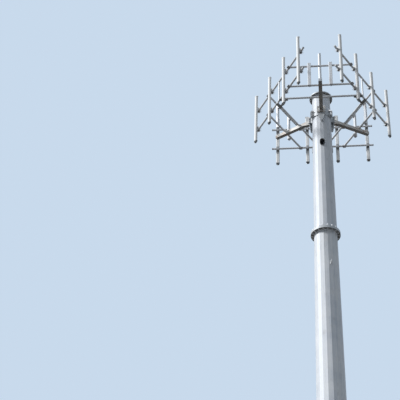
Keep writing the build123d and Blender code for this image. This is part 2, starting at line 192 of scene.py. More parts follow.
pole_finish, pole_colour = galvanised(
    "weathered_pole_zinc", pole_pale, pole_dull, metallic=0.15, roughness=0.60, crystal=42.0, streaking=0.5
)
section_bottoms = [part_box(name + "_front")[0].z for name in section_names]
section_tops = [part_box(name + "_front")[1].z for name in section_names]
tone = section_tones[0]
for level, above, below in zip(section_bottoms[1:], section_tones[1:], section_tones):
    tone = tone + pole_finish.height.between(level - tone_change, level) * (above - below)
pole_colour = pole_finish.mix(tone * 0.45, pole_colour, pole_dull)
wash = 0.0
for level in section_tops:
    washed = pole_finish.height.between(level - washed_height, level)
    wash = wash + washed * (1 - pole_finish.height.between(level, level + wash_edge))
drips = pole_finish.noise(1.0, 4.0, (26.0, 26.0, 0.5)).between(0.50, 0.66)
pole_colour = pole_finish.mix(wash * drips * 0.45, pole_colour, zinc_dirt)
pole_finish.feed("Base Color", pole_colour)
shells = [name + "_" + half for name in section_names for half in ("front", "back")]
dress(shells, pole_finish.material)


# Pole seams: each section is two half shells, joined by a long weld at +X and at -X. The beads were
# laid by machine, so they are even, and they were zinc coated with the shells.
bead_radius = 0.006


def piece(name, shape, material, sharp_angle=35.0):
    """Makes an object of a finished bmesh, and lets it ride on the tower."""
    bmesh.ops.recalc_face_normals(shape, faces=shape.faces)
    mesh = bpy.data.meshes.new(name)
    shape.to_mesh(mesh)
    shape.free()
    mesh.materials.append(material)
    mesh.shade_smooth()
    mesh.set_sharp_from_angle(angle=math.radians(sharp_angle))
    made = bpy.data.objects.new(name, mesh)
    bpy.context.scene.collection.objects.link(made)
    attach(made, "root")
    return made


def rod(shape, start, end, radius, segments=10, end_radius=None):
    """A round bar, or a cone, from start to end."""
    line = Vector(end) - Vector(start)
    middle = Matrix.Translation((Vector(start) + Vector(end)) / 2)
    turn = line.to_track_quat("Z", "Y").to_matrix().to_4x4()
    far = radius if end_radius is None else end_radius
    made = bmesh.ops.create_cone(
        shape, cap_ends=True, segments=segments, radius1=radius, radius2=far, depth=line.length,
        matrix=middle @ turn,
    )
    return made["verts"]


base_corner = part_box("lower_shaft_front")[1].x
upper_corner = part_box("upper_shaft_front")[1].x
taper = (base_corner - upper_corner) / (section_bottoms[2] - section_bottoms[0])
pole_sides = 18


def corner_radius(level):
    """How far the pole's corners are from its axis at a level."""
    return base_corner - taper * (level - section_bottoms[0])


beads = bmesh.new()
for bottom, top in zip(section_bottoms, section_tops):
    for side in (-1, 1):
        low = (side * corner_radius(bottom), 0, bottom)
        high = (side * corner_radius(top), 0, top)
        rod(beads, low, high, bead_radius, 8)
piece("pole_seam_welds", beads, pole_finish.material)


# Flanges: thick rings burned from plate and welded round the pole's ends, then zinc coated with it.
# They are smoother and a little darker than the bent shells, with dirt on their flat tops.
plate_pale = (0.58, 0.60, 0.62)
plate_dull = (0.40, 0.425, 0.45)

# The last number sets strong painted shade on the flanges' undersides.
plate_finish, plate_colour = galvanised(
    "flange_zinc", plate_pale, plate_dull, metallic=0.25, roughness=0.55, crystal=55.0, streaking=0.3,
    underside_shade=0.95,
)
on_top = plate_finish.upward.between(0.6, 0.95)
settled = plate_finish.noise(5.0, 5.0).between(0.42, 0.62)
plate_colour = plate_finish.mix(on_top * settled * 0.4, plate_colour, zinc_dirt)
plate_finish.feed("Base Color", plate_colour)
splices = ("lower_splice", "upper_splice")
splice_rings = [splice + "_" + side + "_ring" for splice in splices for side in ("bottom", "top")]
port_rims = ["base_port_rim", "exit_port_rims"]
pole_plates = ["base_plate", "base_gussets", "hoist_lug", "top_ring", "top_plate", "mast_foot"]
dress(splice_rings + port_rims + pole_plates, plate_finish.material)

weld_leg = 0.014


def spun(shape, outline, steps):
    """A closed ring, from an outline of (radius, height) turned round the pole's axis."""
    corners = [shape.verts.new((radius, 0, height)) for radius, height in outline]
    sides = [shape.edges.new(pair) for pair in zip(corners, corners[1:] + corners[:1])]
    bmesh.ops.spin(
        shape, geom=corners + sides, cent=(0, 0, 0), axis=(0, 0, 1), angle=math.tau, steps=steps,
        use_merge=True,
    )


def weld_round(shape, radius, level, leg, steps=pole_sides):
    """A fillet weld round the pole: leg is positive where the pole stands up from the plate."""
    sunk = radius - abs(leg) / 3
    spun(shape, [(sunk, level), (radius + abs(leg), level), (sunk, level + leg)], steps)


flange_welds = bmesh.new()
for bottom, top in zip(section_bottoms, section_tops):
    weld_round(flange_welds, corner_radius(bottom), bottom, weld_leg)
    weld_round(flange_welds, corner_radius(top), top, -weld_leg)
bead_finish, bead_colour = galvanised(
    "weld_zinc", plate_pale, plate_dull, metallic=0.25, roughness=0.5, crystal=90.0, streaking=0.2
)
bead_finish.feed("Base Color", bead_colour)
bead_finish.bump(bead_finish.noise(140.0, 2.0), 0.5, 0.003)
piece("flange_welds", flange_welds, bead_finish.material)


# Gusset and lug welds: a fillet weld down each side of every gusset and of the hoist lug, and along
# both sides of each gusset's foot. They were laid by hand, before the zinc bath.
gusset_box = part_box("base_gussets")
lug_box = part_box("hoist_lug")
gusset_count = 12
gusset_half = 0.008
gusset_off_flat = math.radians(5)
weld_end = 0.004
lug_half = 0.010
lug_turn = math.radians(20)
hand_bead = 0.007


def flat_distance(level):
    """How far the pole's flats are from its axis at a level."""
    return corner_radius(level) * math.cos(math.pi / pole_sides)


hand_welds = bmesh.new()
gusset_foot = gusset_box[0].z
gusset_top = gusset_box[1].z
foot_in = flat_distance(gusset_foot) / math.cos(gusset_off_flat)
top_in = flat_distance(gusset_top) / math.cos(gusset_off_flat)
foot_out = gusset_box[1].x / math.cos(math.pi / gusset_count) - weld_end
for step in range(gusset_count):
    turn = Matrix.Rotation(math.tau * (step + 0.5) / gusset_count, 4, "Z")
    for side in (-gusset_half, gusset_half):
        foot = turn @ Vector((foot_in, side, gusset_foot))
        rod(hand_welds, foot, turn @ Vector((top_in, side, gusset_top)), hand_bead, 8)
        rod(hand_welds, foot, turn @ Vector((foot_out, side, gusset_foot)), hand_bead, 8)
lug_spot = Matrix.Rotation(lug_turn, 4, "Z")
for side in (-lug_half, lug_half):
    low = lug_spot @ Vector((side, -flat_distance(lug_box[0].z), lug_box[0].z))
    high = lug_spot @ Vector((side, -flat_distance(lug_box[1].z), lug_box[1].z))
    rod(hand_welds, low, high, hand_bead, 8)
piece("gusset_and_lug_welds", hand_welds, bead_finish.material)


# Anchor bolts: twelve threaded studs of 57 mm cast in the footing. Each comes up through the base
# flange and has a thick washer, a heavy nut and a thinner lock nut on it.
stud_radius = 0.0285
stud_core = 0.0255
stud_stand = 0.175
stud_above_foot = 0.001
thread_pitch = 0.006
anchor_across = 0.090
anchor_washer = 0.012
anchor_washer_radius = 0.0522
anchor_nut = 0.057
anchor_nut_gap = 0.002
anchor_lock_nut = 0.034
anchor_mount = next(m for m in frame["record"]["mounts"] if m["name"] == "anchor_bolts")["dims"]
base_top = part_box("base_plate")[1].z


def bolt_finish(name, pale, dull, rust_share):
    """Bright spun zinc on bolts, a little stained where water stands on them."""
    zinc, colour = galvanised(
        name, pale, dull, metallic=0.45, roughness=0.45, crystal=110.0, streaking=0.2, underside_shade=0.6
    )
    stain = zinc.noise(24.0, 5.0).between(0.56, 0.70)
    zinc.feed("Base Color", zinc.mix(stain * rust_share, colour, rust))
    return zinc.material


rust = (0.36, 0.20, 0.11)
bolt_zinc = bolt_finish("bolt_zinc", (0.80, 0.805, 0.81), (0.54, 0.545, 0.55), 0.35)


def ease(shape, edges, offset, segments=1):
    """Takes the sharpness off edges."""
    bmesh.ops.bevel(
        shape, geom=edges, offset=offset, affect="EDGES", segments=segments, profile=0.5, material=-1
    )


def edges_of(verts):
    return list({edge for vert in verts for edge in vert.link_edges})


def hexagon(shape, across, low, high):
    """A nut or a bolt head on +Z, with its corners taken off above and below."""
    corner = across / 2 / math.cos(math.pi / 6)
    middle = Matrix.Translation((0, 0, (low + high) / 2))
    made = bmesh.ops.create_cone(
        shape, cap_ends=True, segments=6, radius1=corner, radius2=corner, depth=high - low, matrix=middle
    )
    rims = [edge for edge in edges_of(made["verts"]) if abs(edge.verts[0].co.z - edge.verts[1].co.z) < 1e-6]
    ease(shape, rims, across / 20)


def upright(shape, radius, low, high, segments=12):
    """A round bar on the Z axis."""
    return rod(shape, (0, 0, low), (0, 0, high), radius, segments)


def copies(part, places):
    """One bmesh with the part at each place. The part is used up."""
    mesh = bpy.data.meshes.new("part")
    part.to_mesh(mesh)
    part.free()
    whole = bmesh.new()
    for place in places:
        count = len(whole.verts)
        whole.from_mesh(mesh)
        whole.verts.ensure_lookup_table()
        bmesh.ops.transform(whole, matrix=place, verts=whole.verts[count:])
    bpy.data.meshes.remove(mesh)
    return whole


def circle_places(radius, count, level, start=0.0):
    """Places on a bolt circle round the pole's axis."""
    turns = [Matrix.Rotation(start + math.tau * i / count, 4, "Z") for i in range(count)]
    return [turn @ Matrix.Translation((radius, 0, level)) for turn in turns]


anchor = bmesh.new()
upright(anchor, stud_core, stud_above_foot - base_top, stud_stand, 20)
hexagon(anchor, anchor_across, anchor_washer, anchor_washer + anchor_nut)
lock_low = anchor_washer + anchor_nut + anchor_nut_gap
lock_high = lock_low + anchor_lock_nut
hexagon(anchor, anchor_across, lock_low, lock_high)
upright(anchor, anchor_washer_radius, 0.0, anchor_washer, 20)
for step in range(int((stud_stand - lock_high) / thread_pitch)):
    low = lock_high + step * thread_pitch
    upright(anchor, stud_radius, low, low + thread_pitch / 2, 16)
anchor_radius = anchor_mount["pcd_mm"] / 2000
anchor_places = circle_places(anchor_radius, anchor_mount["count"], base_top)
piece("anchor_bolts", copies(anchor, anchor_places), bolt_zinc)


# Splice bolts: eighteen 33 mm bolts through each pair of ring flanges, heads below and nuts above,
# with hardened washers. A thinner lock nut is run down on each nut.
splice_size = {"radius": 0.0165, "across": 0.054, "head": 0.021, "nut": 0.031, "washer": 0.005}
splice_nut_gap = 0.001
splice_lock_nut = 0.019
splice_tail = 0.024
splice_edge = 0.053
splice_count = 18
washer_share = 0.56


def plate_bolt(grip, tail, radius, across, head, nut, washer):
    """A bolt through plates from -grip to 0, head below and nut above, whose end stands out by tail."""
    bolt = bmesh.new()
    hexagon(bolt, across, -grip - washer - head, -grip - washer)
    upright(bolt, across * washer_share, -grip - washer, -grip, 16)
    upright(bolt, radius, -grip - washer, washer + nut + tail, 12)
    upright(bolt, across * washer_share, 0, washer, 16)
    hexagon(bolt, across, washer, washer + nut)
    return bolt


for splice in splices:
    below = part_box(splice + "_bottom_ring")
    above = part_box(splice + "_top_ring")
    bolt = plate_bolt(above[1].z - below[0].z, splice_lock_nut + splice_tail, **splice_size)
    lock_low = splice_size["washer"] + splice_size["nut"] + splice_nut_gap
    hexagon(bolt, splice_size["across"], lock_low, lock_low + splice_lock_nut)
    places = circle_places(above[1].x - splice_edge, splice_count, above[1].z)
    piece(splice + "_bolts", copies(bolt, places), bolt_zinc)


# Cable ports: an oval rim let into the shell and welded all round. Rubber trim is pressed on the edge,
# so that the cables don't chafe.
trim_rubber = Finish("port_trim_rubber", 0.0, 0.62)
trim_wear = trim_rubber.noise(18.0, 5.0).between(0.40, 0.65)
trim_rubber.feed("Base Color", trim_rubber.mix(trim_wear, (0.035, 0.035, 0.037), (0.085, 0.083, 0.08)))
trim_rubber.feed("Roughness", 0.55 + trim_wear * 0.25)
trim_rubber.bump(trim_rubber.noise(220.0, 3.0), 0.2, 0.001)
trim_depth = 0.010
port_rim_wall = 0.014
exit_straight = 0.12
port_bead = 0.007
base_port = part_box("base_port_rim")
exit_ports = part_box("exit_port_rims")


def oval_trim(width, height, lip, depth, place):
    """A flat oval ring given depth, with its edges rounded. It is drawn in X and Y, and stands on +Z."""
    trim = bmesh.new()
    loops = []
    for radius in (width / 2, width / 2 - lip):
        loop = bmesh.ops.create_circle(trim, cap_ends=False, segments=32, radius=radius)["verts"]
        loops += edges_of(loop)
    bmesh.ops.bridge_loops(trim, edges=loops)
    straight = (height - width) / 2
    for vert in trim.verts:
        if abs(vert.co.y) > 1e-4:
            vert.co.y += math.copysign(straight, vert.co.y)
    bmesh.ops.solidify(trim, geom=trim.faces[:], thickness=depth)
    ease(trim, [edge for edge in trim.edges if edge.calc_face_angle(0) > 1], depth * 0.3, 2)
    bmesh.ops.transform(trim, matrix=place, verts=trim.verts)
    return trim


outward = Matrix.Rotation(math.pi / 2, 4, "X")


def on_flat(distance, level):
    """Turns a shape drawn flat in X and Y to stand on the pole's side towards -Y."""
    return Matrix.Translation((0, -distance, level)) @ outward


def add(whole, part, place=Matrix()):
    """Adds a part to a bmesh at a place. The part is used up."""
    mesh = bpy.data.meshes.new("part")
    bmesh.ops.transform(part, matrix=place, verts=part.verts)
    part.to_mesh(mesh)
    part.free()
    whole.from_mesh(mesh)
    bpy.data.meshes.remove(mesh)


thirds = [Matrix.Rotation(math.tau * step / 3, 4, "Z") for step in range(3)]
base_width = base_port[1].x - base_port[0].x
exit_width = exit_ports[1].z - exit_ports[0].z - exit_straight
base_kind = ("base_port_trim", base_port, base_width, thirds[:1])
exit_kind = ("exit_port_trims", exit_ports, exit_width, thirds)
port_welds = bmesh.new()
for name, port, width, turns in (base_kind, exit_kind):
    height = port[1].z - port[0].z
    level = (port[0].z + port[1].z) / 2
    trim = oval_trim(width, height, port_rim_wall, trim_depth, on_flat(-port[0].y, level))
    piece(name, copies(trim, turns), trim_rubber.material)
    seat = on_flat(flat_distance(level) + port_bead / 2, level)
    ring = oval_trim(width + 2 * port_bead, height + 2 * port_bead, 2 * port_bead, port_bead, seat)
    add(port_welds, copies(ring, turns))
piece("port_welds", port_welds, bead_finish.material)


# Top of the pole: a cover plate bolted on a ring flange, and a thin mast whose foot is bolted to the
# cover. The mast is a pipe, welded to its foot and cut at a slant so that rain runs off.
pipe_pale = (0.86, 0.87, 0.885)
pipe_dull = (0.68, 0.70, 0.73)
bolt_24 = {"radius": 0.012, "across": 0.036, "head": 0.015, "nut": 0.021, "washer": 0.004}
cover_edge = 0.045
cover_count = 12
cover_tail = 0.010
foot_plate = 0.020
foot_edge = 0.028
foot_count = 6
foot_bolt_radius = 0.010
foot_washer = 0.004
foot_washer_radius = 0.018
foot_across = 0.030
foot_nut = 0.018
foot_tail = 0.010
mast_bead = 0.009
mast_bead_rise = 0.012
mast_bead_root = 0.96
mast_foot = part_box("mast_foot")
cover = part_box("top_plate")
top_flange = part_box("top_ring")

pipe_finish, pipe_colour = galvanised(
    "pipe_zinc", pipe_pale, pipe_dull, metallic=0.2, roughness=0.5, crystal=75.0, streaking=0.35, underside_shade=0.4
)
pipe_finish.feed("Base Color", pipe_colour)
dress(["top_mast"], pipe_finish.material)
cover_bolt = plate_bolt(cover[1].z - top_flange[0].z, cover_tail, **bolt_24)
cover_places = circle_places(cover[1].x - cover_edge, cover_count, cover[1].z)
piece("cover_bolts", copies(cover_bolt, cover_places), bolt_zinc)

foot_top = cover[1].z + foot_plate
foot_bolt = bmesh.new()
upright(foot_bolt, foot_washer_radius, 0, foot_washer, 14)
hexagon(foot_bolt, foot_across, foot_washer, foot_washer + foot_nut)
upright(foot_bolt, foot_bolt_radius, foot_washer, foot_washer + foot_nut + foot_tail, 12)
foot_places = circle_places(mast_foot[1].x - foot_edge, foot_count, foot_top, math.pi / foot_count)
piece("mast_foot_bolts", copies(foot_bolt, foot_places), bolt_zinc)

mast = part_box("top_mast")
mast_radius = (mast[1].x - mast[0].x) / 2
root_radius = mast_radius * mast_bead_root
bead_top = foot_top + mast_bead_rise
mast_weld = bmesh.new()
spun(mast_weld, [(root_radius, foot_top), (mast_radius + mast_bead, foot_top), (root_radius, bead_top)], 32)
piece("mast_weld", mast_weld, bead_finish.material)


# Collar: three rolled segments drawn together round the pole by threaded rods through their ears.
# Each has a standoff box, and a shield plate that an arm is bolted to.
corner_turns = dict(zip(("near", "right", "left"), thirds))
collar_finish, collar_colour = galvanised(
    "collar_zinc", plate_pale, plate_dull, metallic=0.25, roughness=0.52, crystal=60.0, streaking=0.4,
    underside_shade=0.7,
)
collar_finish.feed("Base Color", collar_colour)
dress([corner + "_collar" for corner in corner_turns], collar_finish.material)

near_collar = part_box("near_collar")
collar_half_height = 0.150
standoff_reach = 0.110
shield_thickness = 0.020
shield_face = -near_collar[0].y
arm_level = near_collar[1].z - collar_half_height
band_radius = shield_face - standoff_reach
ear_turn = Matrix.Rotation(-math.pi / 6, 4, "Z")
ear_hole_rise = 0.090
ear_hole_in = 0.0475
ear_outer = 0.038
rod_radius = 0.0135
rod_half = 0.105
rod_washer = 0.005
rod_washer_radius = 0.025
rod_across = 0.041
rod_nut = 0.025
rod_nut_gap = 0.002
rod_lock_nut = 0.016

rod_end = bmesh.new()
nut_low = ear_outer + rod_washer
lock_low = nut_low + rod_nut + rod_nut_gap
upright(rod_end, rod_washer_radius, ear_outer, nut_low, 16)
hexagon(rod_end, rod_across, nut_low, nut_low + rod_nut)
hexagon(rod_end, rod_across, lock_low, lock_low + rod_lock_nut)
collar_rod = copies(rod_end, (Matrix(), Matrix.Rotation(math.pi, 4, "X")))
upright(collar_rod, rod_radius, -rod_half, rod_half, 14)
rod_places = []
for third_turn in thirds:
    for rise in (-ear_hole_rise, ear_hole_rise):
        hole = Matrix.Translation((band_radius + ear_hole_in, 0, arm_level + rise))
        rod_places.append(third_turn @ ear_turn @ hole @ outward)
piece("collar_rods", copies(collar_rod, rod_places), bolt_zinc)

arm_plate = 0.020
arm_bolt_across = 0.125
arm_bolt_up = 0.110
arm_bolt_tail = 0.012
arm_bolt = plate_bolt(shield_thickness + arm_plate, arm_bolt_tail, **bolt_24)
arm_bolt_places = []
for third_turn in thirds:
    for x in (-arm_bolt_across, arm_bolt_across):
        for rise in (-arm_bolt_up, arm_bolt_up):
            spot = Matrix.Translation((x, -shield_face - arm_plate, arm_level + rise))
            arm_bolt_places.append(third_turn @ spot @ outward)
piece("arm_plate_bolts", copies(arm_bolt, arm_bolt_places), bolt_zinc)


# Arms: square tubes of 130 mm, welded to an end plate with two knee plates below, and closed by a
# plug at the tip. A seat is welded on top under each tie.
arm_size = 0.130
arm_pale = (0.74, 0.72, 0.68)
arm_dull = (0.50, 0.475, 0.44)
arm_bead = 0.012
arm_bead_rim = 0.002
plug_thickness = 0.008
plug_sink = 0.001
plug_lip = 0.002
plug_edge = 0.003

# The last number sets strong painted shade on the arms' undersides.
arm_finish, arm_colour = galvanised(
    "arm_zinc", arm_pale, arm_dull, metallic=0.2, roughness=0.55, crystal=50.0, streaking=0.35, underside_shade=0.9
)
arm_stain = arm_finish.noise(7.0, 6.0, (1.0, 1.0, 0.5)).between(0.52, 0.68)
arm_finish.feed("Base Color", arm_finish.mix(arm_stain * 0.5, arm_colour, rust))
dress([corner + "_arm" for corner in corner_turns], arm_finish.material)


def block(shape, size, middle):
    """A box of the given size, and its vertices."""
    place = Matrix.Translation(middle) @ Matrix.Diagonal((*size, 1))
    return bmesh.ops.create_cube(shape, size=1.0, matrix=place)["verts"]


arm_details = bmesh.new()
arm_root = -shield_face - arm_plate
side_to_corner = math.sqrt(0.5)
quarter = Matrix.Rotation(math.pi / 4, 4, "Z")
bmesh.ops.create_cone(
    arm_details, cap_ends=True, segments=4, radius1=(arm_size + 2 * arm_bead) * side_to_corner,
    radius2=(arm_size + arm_bead_rim) * side_to_corner, depth=arm_bead,
    matrix=Matrix.Translation((0, arm_root - arm_bead / 2, arm_level)) @ outward @ quarter,
)
plug_side = arm_size + 2 * plug_lip
arm_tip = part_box("near_arm")[0].y
plug = block(arm_details, (plug_side, plug_thickness, plug_side), (0, arm_tip + plug_sink, arm_level))
ease(arm_details, edges_of(plug), plug_edge, 2)
piece("arm_welds_and_plugs", copies(arm_details, thirds), bead_finish.material)


# Corner posts: short rectangular tubes, paler than the arms because they came later. Rust has begun
# where the straps chafe them.
post_pale = (0.82, 0.835, 0.86)
post_dull = (0.66, 0.675, 0.70)

post_finish, post_colour = galvanised(
    "post_zinc", post_pale, post_dull, metallic=0.2, roughness=0.5, crystal=65.0, streaking=0.3, underside_shade=0.5
)
post_stain = post_finish.noise(6.0, 6.0, (1.0, 1.0, 0.3)).between(0.56, 0.72)
post_finish.feed("Base Color", post_finish.mix(post_stain * 0.28, post_colour, rust))
dress([corner + "_corner_posts" for corner in corner_turns], post_finish.material)


# Ties and rails: galvanised pipes of 73 mm, as the middle posts are. Plastic caps are pressed on the
# ends of the rails and of the inner ties.
faces = ("back", "left", "right")
cap_wall = 0.003
cap_grip = 0.025
cap_crown = 0.006
ties = [corner + "_" + tie for corner in corner_turns for tie in ("inner_tie", "outer_ties")]
face_bars = [face + "_" + bar for face in faces for bar in ("rails", "mid_post")]
dress(ties + face_bars, pipe_finish.material)

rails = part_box("back_rails")
rail_radius = (rails[1].y - rails[0].y) / 2
face_apothem = (rails[0].y + rails[1].y) / 2
rail_levels = (rails[0].z + rail_radius, rails[1].z - rail_radius)
tie_radius = rail_radius
near_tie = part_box("near_inner_tie")
inner_tie_half = near_tie[1].x
inner_tie_distance = -(near_tie[0].y + near_tie[1].y) / 2
outer_tie_distance = -(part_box("near_outer_ties")[0].y + tie_radius)

pipe_cap = bmesh.new()
upright(pipe_cap, rail_radius + cap_wall, -cap_grip, cap_crown, 28)
cap_rim = [edge for edge in pipe_cap.edges if all(vert.co.z > 0 for vert in edge.verts)]
ease(pipe_cap, cap_rim, cap_crown, 3)
cap_places = []
for third_turn in thirds:
    for side in (-1, 1):
        along_x = Matrix.Rotation(side * math.pi / 2, 4, "Y")
        for level in rail_levels:
            spot = Matrix.Translation((side * rails[1].x, face_apothem, level))
            cap_places.append(third_turn @ spot @ along_x)
        spot = Matrix.Translation((side * inner_tie_half, -inner_tie_distance, rail_levels[0]))
        cap_places.append(third_turn @ spot @ along_x)
cap_plastic = Finish("pipe_cap_plastic", 0.0, 0.5)
cap_wear = cap_plastic.noise(14.0, 4.0).between(0.35, 0.65)
cap_plastic.feed("Base Color", cap_plastic.mix(cap_wear, (0.40, 0.42, 0.44), (0.52, 0.54, 0.56)))
cap_plastic.bump(cap_plastic.noise(180.0, 3.0), 0.1, 0.001)
piece("pipe_caps", copies(pipe_cap, cap_places), cap_plastic.material)


# Straps: flat bars bent over the ties, with a bolted foot at each side. They hold the ties on the
# arms' seats and on the corner posts.
strap_thickness = 0.007
strap_clearance = 0.0015
strap_foot = 0.034
strap_bolt_share = 0.55
strap_washer = 0.003
strap_washer_radius = 0.01178
strap_bolt_radius = 0.0057
strap_across = 0.019
strap_nut = 0.011
strap_tail = 0.010


def verts_in(geometry):
    return [item for item in geometry if isinstance(item, bmesh.types.BMVert)]


def strap(sink, width):
    """A strap over a pipe along X, whose seat is sink below the pipe's axis. Up is +Z."""
    bent = bmesh.new()
    inner = tie_radius + strap_clearance
    arc = [(inner * math.cos(a), inner * math.sin(a)) for a in [math.pi * i / 12 for i in range(13)]]
    path = [(inner + strap_foot, -sink), (inner, -sink), *arc, (-inner, -sink), (-inner - strap_foot, -sink)]
    line = [bent.verts.new((-width / 2, y, z)) for y, z in path]
    edges = [bent.edges.new(pair) for pair in zip(line, line[1:])]
    drawn = bmesh.ops.extrude_edge_only(bent, edges=edges)["geom"]
    bmesh.ops.translate(bent, vec=(width, 0, 0), verts=verts_in(drawn))
    bmesh.ops.recalc_face_normals(bent, faces=bent.faces)
    bmesh.ops.solidify(bent, geom=bent.faces[:], thickness=strap_thickness)
    lowest = min(vert.co.z for vert in bent.verts)
    bmesh.ops.translate(bent, vec=(0, 0, -sink - lowest), verts=bent.verts)
    washer_low = -sink + strap_thickness
    nut_low = washer_low + strap_washer
    for side in (-1, 1):
        bolt = bmesh.new()
        upright(bolt, strap_washer_radius, washer_low, nut_low, 12)
        hexagon(bolt, strap_across, nut_low, nut_low + strap_nut)
        upright(bolt, strap_bolt_radius, nut_low, nut_low + strap_nut + strap_tail, 8)
        add(bent, bolt, Matrix.Translation((0, side * (inner + strap_foot * strap_bolt_share), 0)))
    return bent


arm_strap_places = []
post_strap_places = []
arm_seat_lift = 0.018
arm_seat_sink = tie_radius - arm_seat_lift
arm_strap_width = 0.042
arm_strap_offset = 0.034
post_seat_sink = 0.012
post_strap_width = 0.050
corner_post_offset = 0.380
toward_pole = Matrix.Rotation(-math.pi / 2, 4, "X")
for third_turn in thirds:
    for x in (-arm_strap_offset, arm_strap_offset):
        for distance in (inner_tie_distance, outer_tie_distance):
            arm_strap_places.append(third_turn @ Matrix.Translation((x, -distance, rail_levels[0])))
    for x in (-corner_post_offset, corner_post_offset):
        for level in rail_levels:
            spot = Matrix.Translation((x, -outer_tie_distance, level))
            post_strap_places.append(third_turn @ spot @ toward_pole)
arm_strap = strap(arm_seat_sink, arm_strap_width)
post_strap = strap(post_seat_sink, post_strap_width)
piece("arm_straps", copies(arm_strap, arm_strap_places), bolt_zinc)
piece("post_straps", copies(post_strap, post_strap_places), bolt_zinc)


# Middle brackets: bars burned from plate, under the ends of the inner ties and under the rail. A
# U-bolt holds each pipe down, with its nuts below the bar.
u_rod = 0.006
u_leg = 0.038
u_washer = 0.0025
u_washer_radius = 0.0125
u_across = 0.019
u_nut = 0.010
mid_bar_thickness = 0.016
mid_lap = 0.060
dress([face + "_mid_bracket" for face in faces], plate_finish.material)


def faces_in(geometry):
    return [item for item in geometry if isinstance(item, bmesh.types.BMFace)]


def u_bolt():
    """A rod bent over a pipe along X, whose legs go down through a bar."""
    bent = bmesh.new()
    reach = tie_radius + u_rod
    seat = -tie_radius
    foot = Matrix.Translation((0, reach, seat - u_leg))
    ring = bmesh.ops.create_circle(bent, cap_ends=True, segments=8, radius=u_rod, matrix=foot)["verts"]
    leg = bmesh.ops.extrude_face_region(bent, geom=[ring[0].link_faces[0]])["geom"]
    bmesh.ops.translate(bent, vec=(0, 0, u_leg - seat), verts=verts_in(leg))
    end = faces_in(leg)
    turned = bmesh.ops.spin(
        bent, geom=end, cent=(0, 0, 0), axis=(1, 0, 0), angle=math.pi, steps=12, use_merge=False
    )["geom_last"]
    bmesh.ops.delete(bent, geom=end, context="FACES_ONLY")
    end = faces_in(turned)
    leg = bmesh.ops.extrude_face_region(bent, geom=end)["geom"]
    bmesh.ops.translate(bent, vec=(0, 0, seat - u_leg), verts=verts_in(leg))
    bmesh.ops.delete(bent, geom=end, context="FACES_ONLY")
    washer_top = seat - mid_bar_thickness
    nut_top = washer_top - u_washer
    for side in (-1, 1):
        nut = bmesh.new()
        upright(nut, u_washer_radius, nut_top, washer_top, 12)
        hexagon(nut, u_across, nut_top - u_nut, nut_top)
        add(bent, nut, Matrix.Translation((0, side * reach, 0)))
    return bent


tie_slant = math.pi / 3
rail_crossing = inner_tie_distance / math.sin(tie_slant) - face_apothem / math.tan(tie_slant)
u_places = []
for third_turn in thirds:
    for side in (-1, 1):
        on_tie = Matrix.Translation((side * (inner_tie_half - mid_lap), -inner_tie_distance, rail_levels[0]))
        on_rail = Matrix.Translation((side * rail_crossing, face_apothem, rail_levels[0]))
        u_places += [third_turn @ on_tie, third_turn @ on_rail]
piece("mid_u_bolts", copies(u_bolt(), u_places), bolt_zinc)


# Tie sleeves: split pipe clamps round the rails. Two flanges on the outer side are drawn together by
# a pair of bolts.
clamp_pale = (0.57, 0.58, 0.59)
clamp_dull = (0.33, 0.34, 0.35)
sleeve_wall = 0.0093
clasp_length = 0.110
clasp_reach = 0.044
clasp_gap = 0.004
clasp_plate = 0.010
clasp_edge = 0.0015
clasp_root = 0.006
clasp_bolt_size = {"radius": 0.006, "across": 0.019, "head": 0.008, "nut": 0.010, "washer": 0.002}
clasp_bolt_tail = 0.008
clasp_bolt_offset = 0.034
clasp_bolt_out = 0.020
sleeve_radius = rail_radius + sleeve_wall

clamp_finish, clamp_colour = galvanised(
    "clamp_zinc", clamp_pale, clamp_dull, metallic=0.3, roughness=0.52, crystal=80.0, streaking=0.25, underside_shade=0.6
)
clamp_stain = clamp_finish.noise(16.0, 5.0).between(0.54, 0.70)
clamp_finish.feed("Base Color", clamp_finish.mix(clamp_stain * 0.35, clamp_colour, rust))
clamp_nodes = [face + "_" + name for face in faces for name in ("tie_sleeves", "antenna_clamps")]
dress(clamp_nodes, clamp_finish.material)

clasp = bmesh.new()
clasp_size = (clasp_length, clasp_reach, clasp_plate)
clasp_middle = sleeve_radius - clasp_root + clasp_reach / 2
for side in (-1, 1):
    flange = block(clasp, clasp_size, (0, clasp_middle, side * (clasp_gap + clasp_plate / 2)))
    ease(clasp, edges_of(flange), clasp_edge)
clasp_half = clasp_gap + clasp_plate
for x in (-clasp_bolt_offset, clasp_bolt_offset):
    bolt = plate_bolt(2 * clasp_half, clasp_bolt_tail, **clasp_bolt_size)
    add(clasp, bolt, Matrix.Translation((x, sleeve_radius + clasp_bolt_out, clasp_half)))
outer_tie_half = (face_apothem - outer_tie_distance * math.cos(tie_slant)) / math.sin(tie_slant)
sleeve_offset = outer_tie_distance * math.sin(tie_slant) - outer_tie_half * math.cos(tie_slant)
clasp_places = []
for third_turn in thirds:
    for x in (-sleeve_offset, sleeve_offset):
        for level in rail_levels:
            clasp_places.append(third_turn @ Matrix.Translation((x, face_apothem, level)))
piece("sleeve_clasps", copies(clasp, clasp_places), clamp_finish.material)


# Antenna clamps: a pressed bracket on the antenna's back and a keeper behind the rail, drawn together
# by four threaded rods.
antenna_pitch = 1.130
antennas_per_face = 4
bracket_depth = 0.030
antenna_back = face_apothem + rail_radius + bracket_depth
clamp_rod_radius = 0.005
clamp_rod_x = 0.029
clamp_rod_z = 0.056
clamp_rod_sink = 0.006
clamp_rod_tail = 0.055
clamp_washer = 0.002
clamp_washer_radius = 0.0115
clamp_across = 0.017
clamp_nut = 0.009
keeper_wall = 0.010
keeper_back = rail_radius + keeper_wall

